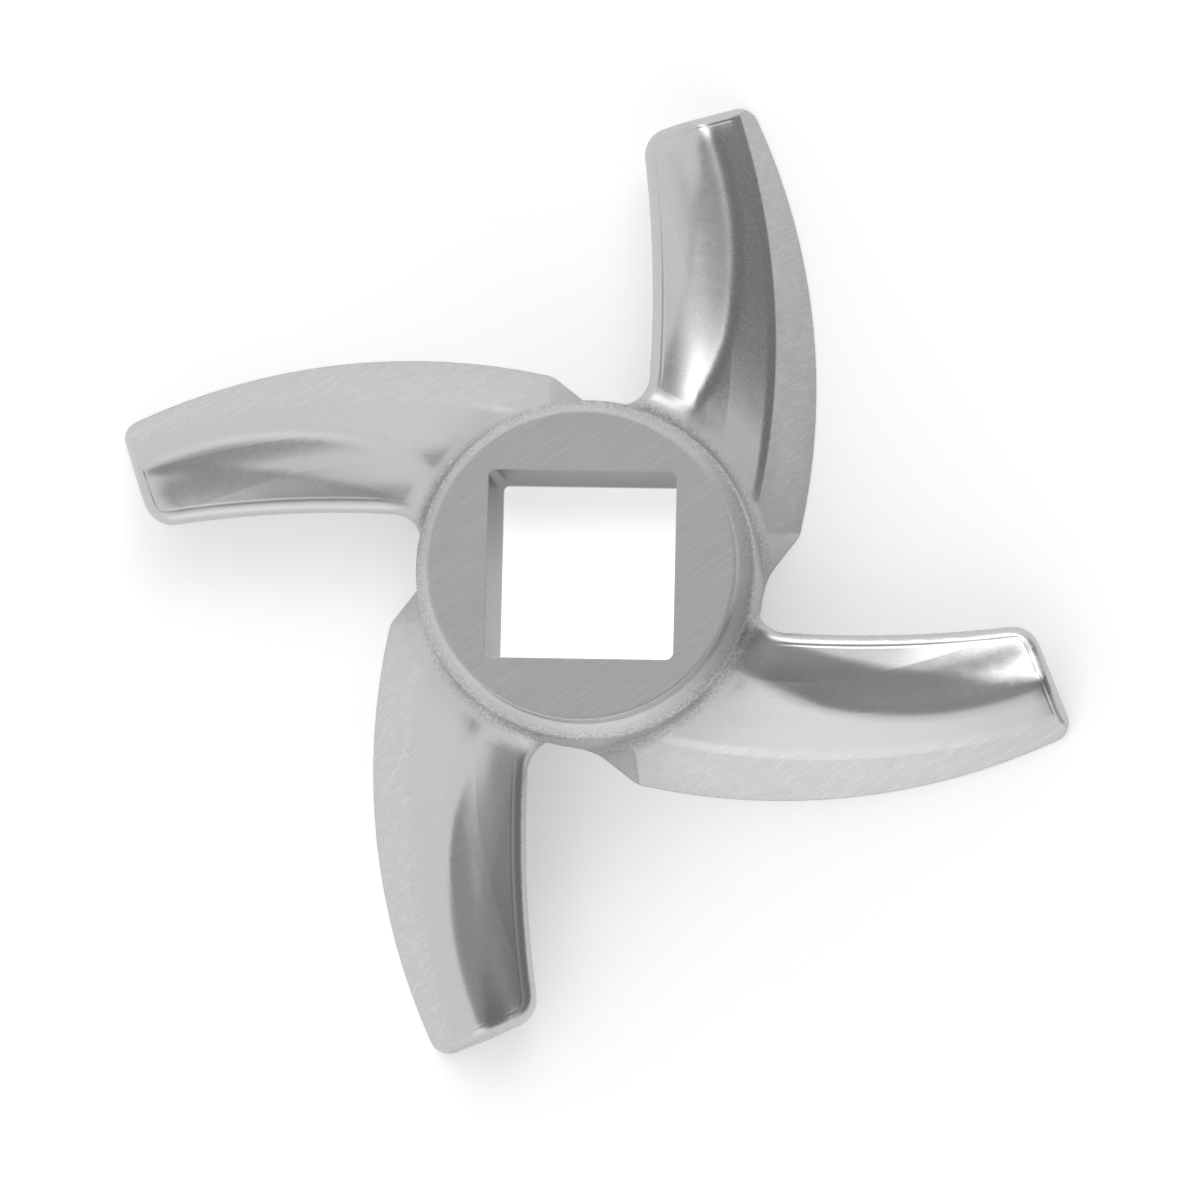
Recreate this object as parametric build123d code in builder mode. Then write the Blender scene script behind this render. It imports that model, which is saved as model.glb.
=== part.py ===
from build123d import *
import os
from math import cos, radians, sin, sqrt, tan

# Meat grinder knife: one stainless casting with a square drive bore and four swept arms.
# The cutting face lies on z = 0 and the hub's back boss points up. The origin is on the
# drive axis, in the cutting plane. One arm points along +Y, the others are turns of it.

# ---- hub ----
arm_count = 4
total_height = 17.0          # cutting face to the back of the boss
barrel_diameter = 33.7       # cast hub below the boss
boss_step = 1.55             # how far the turned boss stands in from the barrel
boss_edge = 0.3              # chamfer round the boss
barrel_height = 11.0         # cutting face to the shoulder's lower edge
shoulder_rise = 1.6          # the shoulder slopes up to the boss
shoulder_round = 1.0
arm_root_round = 3.0         # from the barrel into the arms
bore_side = 18.5             # square drive bore, broached through
bore_corner = 0.75
bore_lead_in = 0.35          # chamfer round the bore's mouth in the cutting face
face_recess_diameter = 30.0  # hub front turned back so that only the arms cut
face_recess_depth = 0.5

# ---- arm outline, in the cutting plane ----
cutting_radius = 65.0        # convex cutting edge
cutting_bulge = 21.7         # how far that edge stands out from the axis
cutting_middle = 18.0        # where along the arm it stands out most
back_radius = 118.0          # hollow trailing edge
back_offset = 5.75
back_middle = 24.5
tip_height = 43.7            # where the tip's end meets the trailing edge
tip_slant = 22.5             # degrees that the end rises towards the cutting edge
tip_cutting_round = 2.0
tip_back_round = 2.8
root_height = 4.7            # where the cutting edge stops, beside the hub
root_slant = 53.0            # degrees from the arm's crossways line
root_draft = 35.0            # how far the root's end leans back from upright
root_end_round = 2.0         # from that end into the flank
root_round = 2.5
crotch_angle = 84.5          # degrees from the arm's crossways line to the bare barrel beside it

# ---- arm section ----
edge_thickness = 0.15        # flat left by honing the cutting edge
bevel_angle = 48.0           # ground slope down to the cutting edge
bevel_hub_clearance = 0.1    # left between the grinding wheel and the barrel
crease_root_height = 5.7     # crease between bevel and flank, over the axis
crease_inset = 3.7           # in from the cutting edge at the widest part of the arm
crease_tightening = 7.0      # how much smaller the crease's radius is than the cutting edge's
crease_shift = 4.0           # how much nearer the tip the crease stands out most
flank_angle = 38.0           # cast slope above the bevel
crest_root_height = 10.4     # crest of the crown over the axis
arm_pitch = 4.0              # crease, flank and crown fall towards the tip
crest_root_offset = 7.0      # how far out that crest runs, over the axis
crest_tip_offset = 11.0      # and over the tip
crown_radius = 18.0          # across the arm
crest_round = 6.0            # from the crown into the flank
rim_round = 1.1              # rolled edge along the trailing side and the tip
land_width = 5.0             # ground land behind the cutting edge
relief_angle = 31.0          # underside behind the land


def arc_reach(radius, bulge, middle, along):
    """Distance out at a height along the arm, on an arc that bulges out sideways."""
    return bulge - radius + sqrt(radius**2 - (along - middle) ** 2)


barrel_radius = barrel_diameter / 2
boss_radius = barrel_radius - boss_step
crease_radius = cutting_radius - crease_tightening
cutting_centre = (cutting_bulge - cutting_radius, cutting_middle)
crease_centre = (cutting_bulge - crease_inset - crease_radius, cutting_middle + crease_shift)
back_centre = (back_offset - back_radius, back_middle)
tip_back = (arc_reach(back_radius, back_offset, back_middle, tip_height), tip_height)
root_corner = (arc_reach(cutting_radius, cutting_bulge, cutting_middle, root_height), root_height)
crown_reach = 4 / 3 * cutting_radius
blank = 3 * cutting_radius   # larger than anything it trims

# One arm in plan: the disc of the cutting edge, less the disc of the trailing edge, cut off
# slantwise at the tip. It runs on into the hub.
with BuildSketch() as cast_plan:
    with Locations(Location((*cutting_centre, 0), 180)):
        Circle(cutting_radius)
    with Locations(back_centre):
        Circle(back_radius, mode=Mode.SUBTRACT)
    with Locations(Location((*tip_back, 0), tip_slant)):
        Rectangle(blank, blank, align=(Align.CENTER, Align.MIN), mode=Mode.SUBTRACT)
    with Locations((0, -root_height)):
        Rectangle(blank, blank, align=(Align.CENTER, Align.MAX), mode=Mode.SUBTRACT)
    fillet(cast_plan.vertices().sort_by_distance(tip_back)[0], tip_back_round)

# The same with the corners of its cutting side rounded. It is open round the hub, where the
# cast surface is left alone.
with BuildSketch() as ground_plan:
    add(cast_plan.sketch)
    with Locations(Location((*root_corner, 0), root_slant)):
        Rectangle(blank, blank, align=(Align.CENTER, Align.MAX), mode=Mode.SUBTRACT)
    fillet(ground_plan.vertices().sort_by(Axis.Y)[-1], tip_cutting_round)
    fillet(ground_plan.vertices().sort_by_distance(root_corner)[0], root_round)
    Circle(barrel_radius + arm_root_round)
    with Locations((back_offset, 0)):
        Rectangle(blank, back_middle, align=(Align.MAX, Align.MIN))
    with Locations(Location((0, 0, 0), crotch_angle - 360 / arm_count)):
        Rectangle(blank, blank, align=(Align.MIN, Align.MIN), mode=Mode.INTERSECT)

# The arm as cast: a crown rounded over its crest into a sloping flank, both falling towards the
# tip, a root whose end leans back, and a rolled rim along the trailing edge and the tip.
arm_fall = tan(radians(arm_pitch))
flank_slope = tan(radians(flank_angle))
crease_plane = Plane((0, 0, crease_root_height), x_dir=(1, 0, 0), z_dir=(0, arm_fall, 1))
crown_drift = (crest_tip_offset - crest_root_offset) / tip_height
crown_plane = Plane(
    (crest_root_offset, 0, crest_root_height),
    x_dir=(1, -crown_drift, 0),
    z_dir=(crown_drift, 1, -arm_fall),
)
below = 2 * crease_root_height
root_out = Vector(1, 0, 0).rotate(Axis.Z, root_slant - 90)
root_normal = root_out * cos(radians(root_draft)) + Vector(0, 0, sin(radians(root_draft)))
with BuildPart() as arm:
    with BuildSketch(crease_plane.offset(-below)):
        with Locations(crease_centre):
            Circle(crease_radius + below / flank_slope)
    extrude(amount=total_height + below, taper=90 - flank_angle)
    with BuildSketch(crown_plane):
        with Locations((0, crown_radius)):
            Circle(crown_radius)
    extrude(amount=crown_reach, both=True, mode=Mode.INTERSECT)
    fillet(arm.edges().sort_by(lambda e: e.center().Z)[-1], crest_round)
    with BuildSketch():
        add(cast_plan.sketch)
    extrude(amount=total_height, both=True, mode=Mode.INTERSECT)
    rim_middle = (back_offset, back_middle, crest_root_height - arm_fall * back_middle)
    fillet(arm.edges().sort_by_distance(rim_middle)[0], rim_round)
    split(bisect_by=Plane.XY, keep=Keep.TOP)
    split(bisect_by=Plane((*root_corner, 0), z_dir=root_normal), keep=Keep.BOTTOM)
    root_top = arm.edges().filter_by(GeomType.HYPERBOLA).sort_by_distance((*root_corner, 0))[0]
    fillet(root_top, root_end_round)

# The hub as cast: barrel, sloping shoulder and boss. Its seam lies on the bare barrel.
hub_out = Vector(1, 0, 0).rotate(Axis.Z, crotch_angle)
hub_plane = Plane((0, 0, 0), x_dir=hub_out, z_dir=hub_out.rotate(Axis.Z, -90))
shoulder_foot = (barrel_radius, barrel_height)
shoulder_top = (boss_radius, barrel_height + shoulder_rise)
with BuildPart() as hub:
    with BuildSketch(hub_plane):
        with BuildLine():
            Polyline(
                (0, 0),
                (barrel_radius, 0),
                shoulder_foot,
                shoulder_top,
                (boss_radius, total_height),
                (0, total_height),
                close=True,
            )
        profile = make_face()
        fillet(profile.vertices().sort_by_distance(shoulder_foot)[0], shoulder_round)
        fillet(profile.vertices().sort_by_distance(shoulder_top)[0], shoulder_round)
    revolve(axis=Axis.Z)

# The ground bevel as the solid it leaves: a cone down to the honed edge, rounded into the
# barrel. The cone is cut off well above the knife.
cone_top_radius = cutting_radius / 4
cone_height = (cutting_radius - cone_top_radius) * tan(radians(bevel_angle))
with BuildPart() as bevel_limit:
    with Locations(cutting_centre):
        Cylinder(cutting_radius, edge_thickness, align=(Align.CENTER, Align.CENTER, Align.MIN))
    with Locations((*cutting_centre, edge_thickness)):
        Cone(
            cutting_radius,
            cone_top_radius,
            cone_height,
            align=(Align.CENTER, Align.CENTER, Align.MIN),
        )
    with Locations(Location((0, 0, 0), 180)):
        Cylinder(
            barrel_radius + bevel_hub_clearance,
            2 * cone_height,
            align=(Align.CENTER, Align.CENTER, Align.MIN),
        )
    fillet(bevel_limit.edges(Select.NEW), arm_root_round)

# The relief under the arm, turned about the centre of the cutting edge, inside the land.
with BuildPart() as relief:
    with BuildSketch(Plane.XZ.offset(-cutting_middle)):
        with BuildLine():
            land_edge = cutting_bulge - land_width
            relief_reach = land_edge + cutting_bulge
            relief_rise = relief_reach * tan(radians(relief_angle))
            Polyline(
                (land_edge, -edge_thickness),
                (land_edge, 0),
                (land_edge - relief_reach, relief_rise),
                (land_edge - relief_reach, -edge_thickness),
                close=True,
            )
        make_face()
    revolve(axis=Axis((*cutting_centre, 0), (0, 0, 1)))
    with BuildSketch():
        Circle(barrel_radius)
    extrude(amount=total_height, both=True, mode=Mode.SUBTRACT)

# A quarter of the knife: the cast arm rooted in the hub, then ground.
with BuildPart() as quarter:
    add(hub.part)
    add(arm.part)
    fillet(quarter.edges(Select.NEW), arm_root_round)
    with BuildSketch():
        add(ground_plan.sketch)
    extrude(amount=total_height, mode=Mode.INTERSECT)
    add(bevel_limit.part, mode=Mode.INTERSECT)
    add(relief.part, mode=Mode.SUBTRACT)

# The whole knife, with its square bore, the bore's lead-in, and the recess that sets the hub's
# front back.
with BuildPart() as knife:
    with PolarLocations(0, arm_count):
        add(quarter.part)
    with BuildSketch():
        Circle(face_recess_diameter / 2)
    extrude(amount=face_recess_depth, mode=Mode.SUBTRACT)
    with BuildSketch():
        RectangleRounded(bore_side, bore_side, bore_corner)
    extrude(amount=total_height, mode=Mode.SUBTRACT)
    recess_floor = knife.faces().filter_by(Axis.Z).sort_by(lambda f: abs(f.center().Z - face_recess_depth))[0]
    chamfer(recess_floor.inner_wires()[0].edges(), bore_lead_in)
    chamfer(knife.faces().sort_by(Axis.Z)[-1].outer_wire().edges(), boss_edge)

knife.part.label = "grinder_knife"
os.makedirs("parts", exist_ok=True)
export_step(knife.part, "parts/grinder_knife.step")
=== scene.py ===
from math import cos, radians, sin, tan

import bpy
from mathutils import Matrix, Vector

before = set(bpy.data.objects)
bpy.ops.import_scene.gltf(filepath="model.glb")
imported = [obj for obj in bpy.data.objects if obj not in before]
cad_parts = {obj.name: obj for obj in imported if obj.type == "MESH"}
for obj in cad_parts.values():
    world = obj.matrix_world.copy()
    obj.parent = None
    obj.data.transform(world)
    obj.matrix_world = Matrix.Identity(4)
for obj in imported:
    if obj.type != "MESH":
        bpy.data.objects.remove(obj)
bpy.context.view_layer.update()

scene = bpy.context.scene


# ---- The knife ----
# One stainless steel casting with a satin skin. The bevels and the back of the hub were ground
# bright, the square bore was broached, and the barrel keeps its coarse cast grain.
def linear(hex_colour):
    """An sRGB hex colour as the linear RGBA that Blender's sockets take."""
    parts = [int(hex_colour[i:i + 2], 16) / 255 for i in (1, 3, 5)]
    return tuple(c / 12.92 if c <= 0.04045 else ((c + 0.055) / 1.055) ** 2.4 for c in parts) + (1.0,)


def node(tree, kind, inputs=(), **settings):
    """Adds a shader node, sets its properties, and gives each input, in order or by name, its
    link or its value. Hands back the node's outputs."""
    added = tree.nodes.new("ShaderNode" + kind)
    for name, value in settings.items():
        setattr(added, name, value)
    for name, value in (inputs if isinstance(inputs, dict) else dict(enumerate(inputs))).items():
        if isinstance(value, bpy.types.NodeSocket):
            tree.links.new(value, added.inputs[name])
        else:
            added.inputs[name].default_value = value
    return added.outputs


smooth = {"interpolation_type": "SMOOTHSTEP"}  # makes a MapRange ease in and out

# The knife's own sizes, in millimetres and degrees, measured from the drive axis.
mm = 0.001
arm_turn = 90.0              # from arm to arm
sector_start = -5.5          # where one arm's share of the hub starts
cutting_centre = (-43.3, 18.0, 0.0)
cutting_radius = 65.0
bevel_angle = 48.0
bevel_width = 3.4            # from the cutting edge in to the crease
trailing_centre = (-112.25, 24.5, 0.0)
trailing_radius = 118.0
tip_slant = radians(22.5)
tip_normal = (-sin(tip_slant), cos(tip_slant), 0.0)
tip_offset = 38.8            # from the axis square out to the tip's end
rim_width = 1.2
barrel_radius = 16.85
barrel_top = 11.0
shoulder_top = 12.5
boss_back = 17.0
back_line = 16.6             # the turned back starts here
bore_wall = 9.4              # just beyond the bore's walls

# Stainless steel, cast and blasted to satin: it has hardly a tone of its own and takes the
# greys of what stands round it, a little blurred.
knife_steel = bpy.data.materials.new("satin_stainless_casting")
knife_steel.use_nodes = True
tree = knife_steel.node_tree
shader = tree.nodes["Principled BSDF"]
shader.inputs["Metallic"].default_value = 1.0

# Where on the knife, in millimetres, and the same with every arm turned to lie like the first.
place = node(tree, "TexCoord")["Object"]
place = node(tree, "VectorMath", {0: place, "Scale": 1 / mm}, operation="SCALE")[0]
height = node(tree, "SeparateXYZ", [place])["Z"]
flat = node(tree, "VectorMath", [place, (1, 1, 0)], operation="MULTIPLY")[0]
reach = node(tree, "VectorMath", [flat], operation="LENGTH")["Value"]
spot = node(tree, "SeparateXYZ", [flat])
bearing = node(tree, "Math", [spot["Y"], spot["X"]], operation="ARCTAN2")[0]
past_start = node(tree, "Math", [bearing, radians(sector_start)], operation="SUBTRACT")[0]
turns = node(tree, "Math", [past_start, radians(arm_turn)], operation="DIVIDE")[0]
arm_index = node(tree, "Math", [turns], operation="FLOOR")[0]
turned_back = node(tree, "Math", [arm_index, -radians(arm_turn)], operation="MULTIPLY")[0]
turned_out = node(tree, "Math", [arm_index, radians(arm_turn)], operation="MULTIPLY")[0]
arm_flat = node(tree, "VectorRotate", {"Vector": flat, "Angle": turned_back}, rotation_type="Z_AXIS")[0]
along_arm = node(tree, "SeparateXYZ", [arm_flat])["Y"]
facing_up = node(tree, "SeparateXYZ", [node(tree, "NewGeometry")["Normal"]])["Z"]

# What was ground: the bevel's cone, wherever the skin is no lower than it, and the hub's back.
# Each ground face ends within a fraction of a millimetre.
bevel_blend = 0.2
back_blend = 0.1
edge_reach = node(tree, "VectorMath", [arm_flat, cutting_centre], operation="DISTANCE")["Value"]
from_edge = node(tree, "Math", [cutting_radius, edge_reach], operation="SUBTRACT")[0]
bevel_height = node(tree, "Math", [from_edge, tan(radians(bevel_angle))], operation="MULTIPLY")[0]
under_bevel = node(tree, "Math", [bevel_height, height], operation="SUBTRACT")[0]
on_bevel = node(tree, "MapRange", [under_bevel, bevel_blend, 0.0], **smooth)[0]
on_back = node(tree, "MapRange", [height, back_line - back_blend, back_line], **smooth)[0]

# What was left as cast: the barrel, up to its shoulder.
cast_ends = barrel_radius + 1.4
cast_is_full = barrel_radius + 0.3
near_barrel = node(tree, "MapRange", [reach, cast_ends, cast_is_full], **smooth)[0]
below_shoulder = node(tree, "MapRange", [height, shoulder_top, barrel_top], **smooth)[0]
on_barrel = node(tree, "Math", [near_barrel, below_shoulder], operation="MULTIPLY")[0]

# What was finished by hand: the crowns, clear of the barrel and of the steep sides.
crown_starts = barrel_radius + 0.3
crown_is_full = barrel_radius + 2.0
too_steep, level_enough = 0.35, 0.6  # upward part of the normal
off_bevel = node(tree, "Math", [1.0, on_bevel], operation="SUBTRACT")[0]
levelness = node(tree, "MapRange", [facing_up, too_steep, level_enough], **smooth)[0]
on_crown = node(tree, "Math", [off_bevel, levelness], operation="MULTIPLY")[0]
beyond_barrel = node(tree, "MapRange", [reach, crown_starts, crown_is_full], **smooth)[0]
on_crown = node(tree, "Math", [on_crown, beyond_barrel], operation="MULTIPLY")[0]

# The crown's normals lean as if its flank, wide at the root, narrowed to the tip, and as if a
# facet along the trailing side widened to the tip. Widths run inward from the bevel's crease,
# and each is given at the root, with its change per millimetre.
root_line = 18.0             # how far along the arm the root's widths are measured
flank_slope = 0.8
crown_slope = 0.02           # between the flank and the facet
facet_slope = -0.22          # falls the other way
crown_radius = 18.0          # of the crown as cast
cast_flank, cast_flank_change = 4.3, -0.07   # the flank's width as cast
cast_crest, cast_crest_change = 9.5, -0.13   # in to where the cast crown is level
cast_round = 3.6             # from the cast flank into the crown
hand_flank = 7.0             # the flank's width as finished
hand_flank_length = 16.0     # the length over which it shrinks to about a third
hand_flank_round = 1.3       # to each side of its crest
hand_facet, hand_facet_change = 12.0, -0.36  # in to where the facet starts
hand_facet_round = 0.8       # to each side of that line

inward = node(tree, "Math", [cutting_radius - bevel_width, edge_reach], operation="SUBTRACT")[0]
beyond_root = node(tree, "Math", [along_arm, root_line], operation="SUBTRACT")[0]


def leaned_over(start, end, outer_slope, inner_slope):
    """The slope across the arm where, going inward, one slope eases into another."""
    share = node(tree, "MapRange", [inward, start, end], **smooth)[0]
    change = node(tree, "Math", [inner_slope, outer_slope], operation="SUBTRACT")[0]
    return node(tree, "Math", [change, share, outer_slope], operation="MULTIPLY_ADD")[0]


flank_end = node(tree, "Math", [beyond_root, cast_flank_change, cast_flank], operation="MULTIPLY_ADD")[0]
crown_start = node(tree, "Math", [flank_end, cast_round], operation="ADD")[0]
crest = node(tree, "Math", [beyond_root, cast_crest_change, cast_crest], operation="MULTIPLY_ADD")[0]
past_crest = node(tree, "Math", [crest, inward], operation="SUBTRACT")[0]
cast_crown = node(tree, "Math", [past_crest, crown_radius], operation="DIVIDE")[0]
cast = leaned_over(flank_end, crown_start, flank_slope, cast_crown)

facet_line = node(tree, "Math", [beyond_root, hand_facet_change, hand_facet], operation="MULTIPLY_ADD")[0]
facet_start = node(tree, "Math", [facet_line, hand_facet_round], operation="SUBTRACT")[0]
facet_end = node(tree, "Math", [facet_line, hand_facet_round], operation="ADD")[0]
facet = leaned_over(facet_start, facet_end, crown_slope, facet_slope)
shrinking = node(tree, "Math", [beyond_root, -hand_flank_length], operation="DIVIDE")[0]
shrinking = node(tree, "Math", [shrinking], operation="EXPONENT")[0]
hand_crest = node(tree, "Math", [hand_flank, shrinking], operation="MULTIPLY")[0]
hand_start = node(tree, "Math", [hand_crest, hand_flank_round], operation="SUBTRACT")[0]
hand_end = node(tree, "Math", [hand_crest, hand_flank_round], operation="ADD")[0]
hand = leaned_over(hand_start, hand_end, flank_slope, facet)

difference = node(tree, "Math", [hand, cast], operation="SUBTRACT")[0]
leanable = node(tree, "Math", [on_crown, facing_up], operation="MULTIPLY")[0]
tilt = node(tree, "Math", [difference, leanable], operation="MULTIPLY")[0]
outward = node(tree, "VectorMath", [arm_flat, cutting_centre], operation="SUBTRACT")[0]
outward = node(tree, "VectorMath", [outward], operation="NORMALIZE")[0]
leaning = node(tree, "VectorMath", {0: outward, "Scale": tilt}, operation="SCALE")[0]

# It rounds off towards the tip's end.
end_slope = 0.16
end_starts = tip_offset - 3.2
end_is_full = tip_offset - 0.6
tip_reach = node(tree, "VectorMath", [arm_flat, tip_normal], operation="DOT_PRODUCT")["Value"]
ending = node(tree, "MapRange", [tip_reach, end_starts, end_is_full, 0.0, end_slope], **smooth)[0]
ending = node(tree, "Math", [ending, on_crown], operation="MULTIPLY")[0]
rounding = node(tree, "VectorMath", {0: tip_normal, "Scale": ending}, operation="SCALE")[0]
leaning = node(tree, "VectorMath", [leaning, rounding], operation="ADD")[0]
leaning = node(tree, "VectorRotate", {"Vector": leaning, "Angle": turned_out}, rotation_type="Z_AXIS")[0]

# It swells up to the hub beside the flank.
swell_slope = 0.62
swell_length = 7.5
swell_starts, swell_is_full = 11.0, 7.5  # inward from the crease
past_barrel = node(tree, "Math", [barrel_radius, reach], operation="SUBTRACT")[0]
past_barrel = node(tree, "Math", [past_barrel, swell_length], operation="DIVIDE")[0]
swell = node(tree, "Math", [past_barrel], operation="EXPONENT")[0]
swell = node(tree, "Math", [swell_slope, swell], operation="MULTIPLY")[0]
beside_flank = node(tree, "MapRange", [inward, swell_starts, swell_is_full], **smooth)[0]
beside_flank = node(tree, "Math", [on_crown, beside_flank], operation="MULTIPLY")[0]
swell = node(tree, "Math", [swell, beside_flank], operation="MULTIPLY")[0]
hubward = node(tree, "VectorMath", [flat], operation="NORMALIZE")[0]
swelling = node(tree, "VectorMath", {0: hubward, "Scale": swell}, operation="SCALE")[0]

# All edges are broken by a quarter of a millimetre, but the turned back stays flat to its edge.
edge_break = 0.25
flat_line = boss_back - 0.2
flat_weight = 3.0            # of straight up, against the softened normal there
on_flat = node(tree, "Math", [height, flat_line], operation="GREATER_THAN")[0]
on_flat = node(tree, "Math", [on_flat, flat_weight], operation="MULTIPLY")[0]
upright = node(tree, "VectorMath", {0: (0, 0, 1), "Scale": on_flat}, operation="SCALE")[0]
softened = node(tree, "Bevel", {"Radius": edge_break * mm}, samples=4)["Normal"]
softened = node(tree, "VectorMath", [upright, softened], operation="ADD")[0]
shaped = node(tree, "VectorMath", [leaning, swelling], operation="ADD")[0]
shaped = node(tree, "VectorMath", [shaped, softened], operation="ADD")[0]
shaped = node(tree, "VectorMath", [shaped], operation="NORMALIZE")[0]

# Satin grain, finer where it was ground and coarser on the barrel, with slow waves under it.
# The blasted grain itself is finer than this, and is drawn as coarse as it needs to show.
grain_size = 0.3
wave_size = 5.0
wave_depth = 0.05
satin_depth, ground_depth, barrel_depth = 0.003, 0.0008, 0.012
grain = node(tree, "TexNoise", {"Vector": place, "Scale": 1 / grain_size, "Detail": 2.0,
                                "Roughness": 0.6})["Fac"]
waves = node(tree, "TexNoise", {"Vector": place, "Scale": 1 / wave_size, "Detail": 1.0})["Fac"]
grain_depth = node(tree, "MapRange", [on_bevel, 0.0, 1.0, satin_depth, ground_depth], **smooth)[0]
grain_depth = node(tree, "Math", [on_barrel, barrel_depth, grain_depth], operation="MULTIPLY_ADD")[0]
grain_height = node(tree, "Math", [grain, grain_depth], operation="MULTIPLY")[0]
skin = node(tree, "Math", [waves, wave_depth, grain_height], operation="MULTIPLY_ADD")[0]

# The rolled rim ends in a faint groove along the trailing side and the tip's end.
groove_half_width = 0.22
groove_depth = 0.025
groove_corner = 1.5          # how softly it turns the tip's corner
groove_starts = barrel_radius + 2.0
groove_is_full = barrel_radius + 4.0
from_centre = node(tree, "VectorMath", [arm_flat, trailing_centre], operation="DISTANCE")["Value"]
from_trailing = node(tree, "Math", [from_centre, trailing_radius], operation="SUBTRACT")[0]
from_tip = node(tree, "Math", [tip_offset, tip_reach], operation="SUBTRACT")[0]
from_rim = node(tree, "Math", [from_trailing, from_tip, groove_corner], operation="SMOOTH_MIN")[0]
from_groove = node(tree, "Math", [from_rim, rim_width], operation="SUBTRACT")[0]
from_groove = node(tree, "Math", [from_groove], operation="ABSOLUTE")[0]
groove = node(tree, "MapRange", [from_groove, groove_half_width, 0.0], **smooth)[0]
clear_of_hub = node(tree, "MapRange", [reach, groove_starts, groove_is_full], **smooth)[0]
clear_of_hub = node(tree, "Math", [on_crown, clear_of_hub], operation="MULTIPLY")[0]
groove = node(tree, "Math", [groove, clear_of_hub], operation="MULTIPLY")[0]
skin = node(tree, "Math", [groove, -groove_depth, skin], operation="MULTIPLY_ADD")[0]
finish = node(tree, "Bump", {"Height": skin, "Distance": mm, "Normal": shaped})["Normal"]
tree.links.new(finish, shader.inputs["Normal"])

# The satin blurs what it mirrors, more so beside the barrel, where tools reach badly, and on
# the turned back.
satin_roughness, grain_roughness = 0.21, 0.12
corner_roughness, turned_roughness = 0.14, 0.10
corner_ends = barrel_radius + 5.0
corner_is_full = barrel_radius + 1.0
roughness = node(tree, "Math", [grain, grain_roughness, satin_roughness], operation="MULTIPLY_ADD")[0]
in_corner = node(tree, "MapRange", [reach, corner_ends, corner_is_full], **smooth)[0]
roughness = node(tree, "Math", [in_corner, corner_roughness, roughness], operation="MULTIPLY_ADD")[0]
roughness = node(tree, "Math", [on_back, turned_roughness, roughness], operation="MULTIPLY_ADD")[0]
tree.links.new(roughness, shader.inputs["Roughness"])

# Its tone: even on the crowns, faintly lined where it was ground, speckled darker where the cast
# grain was left, which is also painted shade on the barrel between the arms' roots, and painted
# darker in the broached bore as shade on its walls.
satin_low, satin_high = linear("#bebebe"), linear("#c8c8c8")
ground_line = linear("#cacaca")
# The speck colour: cast grain, and partly painted shade on the barrel between the arms' roots.
cast_speck_and_shade = linear("#aaaaaa")
# Painted shade: the bore's walls are coloured darker, as shade in the deep recess.
bore_shade_colour = linear("#767676")
grinding_line = (8.0, 0.3, 1.0)  # a line's length and width
grinding_bearing = radians(35.0)
line_starts, line_is_full = 0.4, 0.7      # of the lines' noise
speck_starts, speck_is_full = 0.62, 0.42  # of the grain's noise
tone = node(tree, "MixRGB", [grain, satin_low, satin_high])[0]
line_place = node(tree, "Mapping", {"Vector": place, "Rotation": (0.0, 0.0, grinding_bearing),
                                    "Scale": grinding_line}, vector_type="TEXTURE")[0]
lines = node(tree, "TexNoise", {"Vector": line_place, "Scale": 1.0, "Detail": 3.0})["Fac"]
ground = node(tree, "Math", [on_back, on_bevel], operation="MAXIMUM")[0]
lined = node(tree, "MapRange", [lines, line_starts, line_is_full], **smooth)[0]
lined = node(tree, "Math", [ground, lined], operation="MULTIPLY")[0]
tone = node(tree, "MixRGB", [lined, tone, ground_line])[0]
# Speckles the barrel darker: cast grain, and partly painted shade where the arms meet the barrel.
speckled_and_shaded = node(tree, "MapRange", [grain, speck_starts, speck_is_full], **smooth)[0]
speckled_and_shaded = node(tree, "Math", [on_barrel, speckled_and_shaded], operation="MULTIPLY")[0]
tone = node(tree, "MixRGB", [speckled_and_shaded, tone, cast_speck_and_shade])[0]
# Paints shade in the bore: its walls below the back take the darker colour.
from_x, from_y = [node(tree, "Math", [spot[axis]], operation="ABSOLUTE")[0] for axis in "XY"]
from_axis = node(tree, "Math", [from_x, from_y], operation="MAXIMUM")[0]
inside_wall = node(tree, "Math", [from_axis, bore_wall], operation="LESS_THAN")[0]
under_back = node(tree, "Math", [height, back_line], operation="LESS_THAN")[0]
in_bore = node(tree, "Math", [inside_wall, under_back], operation="MULTIPLY")[0]
tone = node(tree, "MixRGB", [in_bore, tone, bore_shade_colour])[0]
tree.links.new(tone, shader.inputs["Base Color"])

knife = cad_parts["grinder_knife"]
knife.data.materials.clear()
knife.data.materials.append(knife_steel)


# ---- Camera ----
# A long lens about a metre above the knife, leaning a few degrees to its lower right and
# turned a little, so that the knife fills the square frame.
image_size = 1200            # pixels each way
scale = 10.05                # pixels to a millimetre at the cutting plane
axis_pixel = (594.9, 580.3)  # where the drive axis meets the cutting plane
camera_lean = Vector((0.0843, -0.0901, 1.0)).normalized()
camera_distance = 1.0
camera_roll = radians(1.3)

camera_data = bpy.data.cameras.new("camera")
camera = bpy.data.objects.new("camera", camera_data)
scene.collection.objects.link(camera)
scene.camera = camera
up = Vector((sin(-camera_roll), cos(camera_roll), 0))
right = up.cross(camera_lean).normalized()
true_up = camera_lean.cross(right).normalized()
across = (image_size / 2 - axis_pixel[0]) / scale * mm
along = (axis_pixel[1] - image_size / 2) / scale * mm
camera.matrix_world = Matrix((right, true_up, camera_lean)).transposed().to_4x4()
camera.location = right * across + true_up * along + camera_lean * camera_distance
camera_data.sensor_width = 36.0
camera_data.lens = scale * camera_distance / mm * camera_data.sensor_width / image_size
camera_data.clip_start = 0.05
camera_data.clip_end = 10.0


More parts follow.
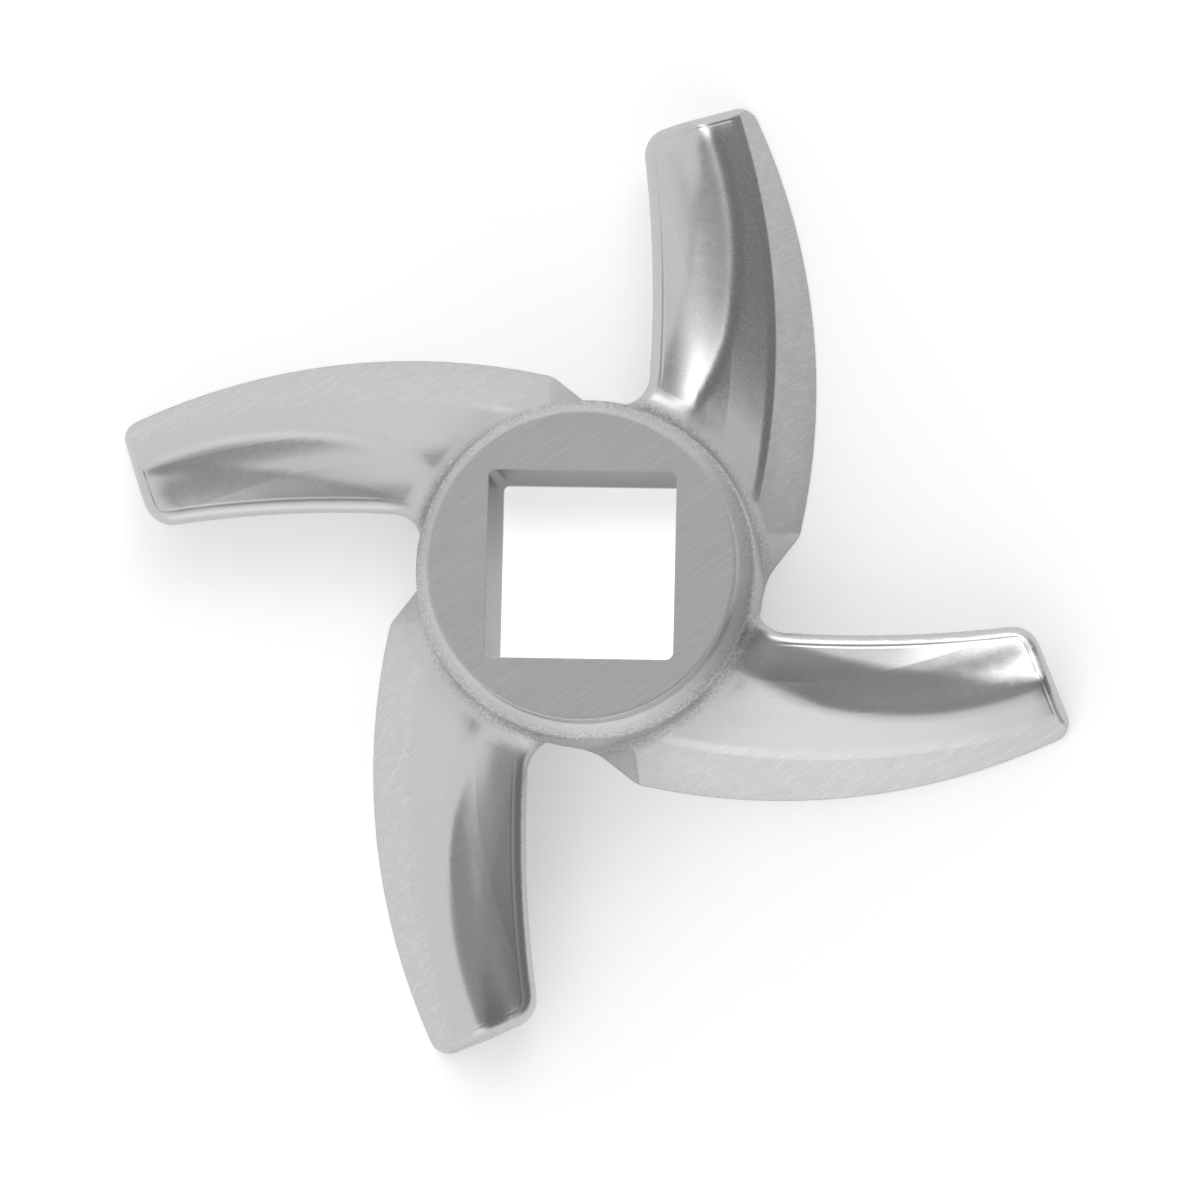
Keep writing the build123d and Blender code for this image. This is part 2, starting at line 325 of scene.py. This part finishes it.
# ---- Floor ----
# A wide sheet of plain white paper. The knife lies on its ground lands on it, and the paper
# keeps the knife's soft shadow.
floor_reach = 1.5
floor_gap = 0.02 * mm        # keeps the floor clear of the ground lands
floor_mesh = bpy.data.meshes.new("floor")
corners = [(x * floor_reach, y * floor_reach, 0) for x, y in ((-1, -1), (1, -1), (1, 1), (-1, 1))]
floor_mesh.from_pydata(corners, [], [(0, 1, 2, 3)])
floor = bpy.data.objects.new("floor", floor_mesh)
scene.collection.objects.link(floor)
floor.location.z = -floor_gap

# White paper: matt. It is brought up to white where the camera or a mirroring surface sees
# it, most of all through the bore, where the hub keeps the light off it.
paper_colour = linear("#f4f4f4")
paper_glow = 0.3
bore_half = 9.25 * mm
bore_front = -0.2 * bore_half
bore_glows = (0.35, 0.9)     # at the bore's back wall, and from just past its middle on
paper = bpy.data.materials.new("white_paper")
paper.use_nodes = True
tree = paper.node_tree
shader = tree.nodes["Principled BSDF"]
shader.inputs["Base Color"].default_value = paper_colour
shader.inputs["Roughness"].default_value = 0.9
shader.inputs["Emission Color"].default_value = (1, 1, 1, 1)
spot = node(tree, "SeparateXYZ", [node(tree, "TexCoord")["Object"]])
from_x, from_y = [node(tree, "Math", [spot[axis]], operation="ABSOLUTE")[0] for axis in "XY"]
within_x = node(tree, "Math", [from_x, bore_half], operation="LESS_THAN")[0]
within_y = node(tree, "Math", [from_y, bore_half], operation="LESS_THAN")[0]
in_bore = node(tree, "Math", [within_x, within_y], operation="MULTIPLY")[0]
bore_glow = node(tree, "MapRange", [spot["Y"], bore_half, bore_front, *bore_glows], **smooth)[0]
bore_glow = node(tree, "Math", [in_bore, bore_glow], operation="MULTIPLY")[0]
path = node(tree, "LightPath")
seen = node(tree, "Math", [path["Is Camera Ray"], path["Is Glossy Ray"]], operation="MAXIMUM")[0]
seen = node(tree, "Math", [seen, path["Is Transmission Ray"]], operation="MAXIMUM")[0]
glow = node(tree, "Math", [bore_glow, paper_glow], operation="ADD")[0]
glow = node(tree, "Math", [seen, glow], operation="MULTIPLY")[0]
tree.links.new(glow, shader.inputs["Emission Strength"])
floor_mesh.materials.append(paper)


# ---- Light ----
# A white tent of light round the knife, with one soft lamp behind it. The tent is dimmer
# overhead and at the right, where the satin slopes take their greys and darks from.
def direction(azimuth, elevation):
    """The way to look from the knife. Azimuth 0 is towards +X and 90 towards +Y."""
    azimuth, elevation = radians(azimuth), radians(elevation)
    return Vector((cos(azimuth) * cos(elevation), sin(azimuth) * cos(elevation), sin(elevation)))


lamp_way = direction(76, 40)
lamp_distance = 1.2
lamp_data = bpy.data.lights.new("back_softbox", "AREA")
lamp_data.shape = "RECTANGLE"
lamp_data.size, lamp_data.size_y = 0.7, 0.45
lamp_data.energy = 2.0
lamp = bpy.data.objects.new("back_softbox", lamp_data)
scene.collection.objects.link(lamp)
lamp.location = lamp_way * lamp_distance
lamp.rotation_euler = lamp_way.to_track_quat("Z", "Y").to_euler()

# The tent's zones, each with its azimuth and elevation, the two angles between which it fades
# out, and its strength: a front panel, a panel behind the lamp, the dim top, the dark right.
zones = (
    (270, 16, 12, 30, 1.35),
    (100, 44, 8, 22, 1.3),
    (-60, 84, 24, 36, 0.4),
    (5, 20, 36, 58, 0.24),
)
world = bpy.data.worlds.new("light_tent")
scene.world = world
world.use_nodes = True
tree = world.node_tree
background = tree.nodes["Background"]
background.inputs["Color"].default_value = (1, 1, 1, 1)
sky = node(tree, "TexCoord")["Generated"]
strength = 1.0
for azimuth, elevation, inner, outer, zone_strength in zones:
    zone_way = direction(azimuth, elevation)
    towards = node(tree, "VectorMath", [sky, zone_way], operation="DOT_PRODUCT")["Value"]
    share = node(tree, "MapRange", [towards, cos(radians(outer)), cos(radians(inner))], **smooth)[0]
    strength = node(tree, "Mix", {"Factor": share, "A": strength, "B": zone_strength})[0]
tree.links.new(strength, background.inputs["Strength"])

scene.view_settings.view_transform = "Standard"
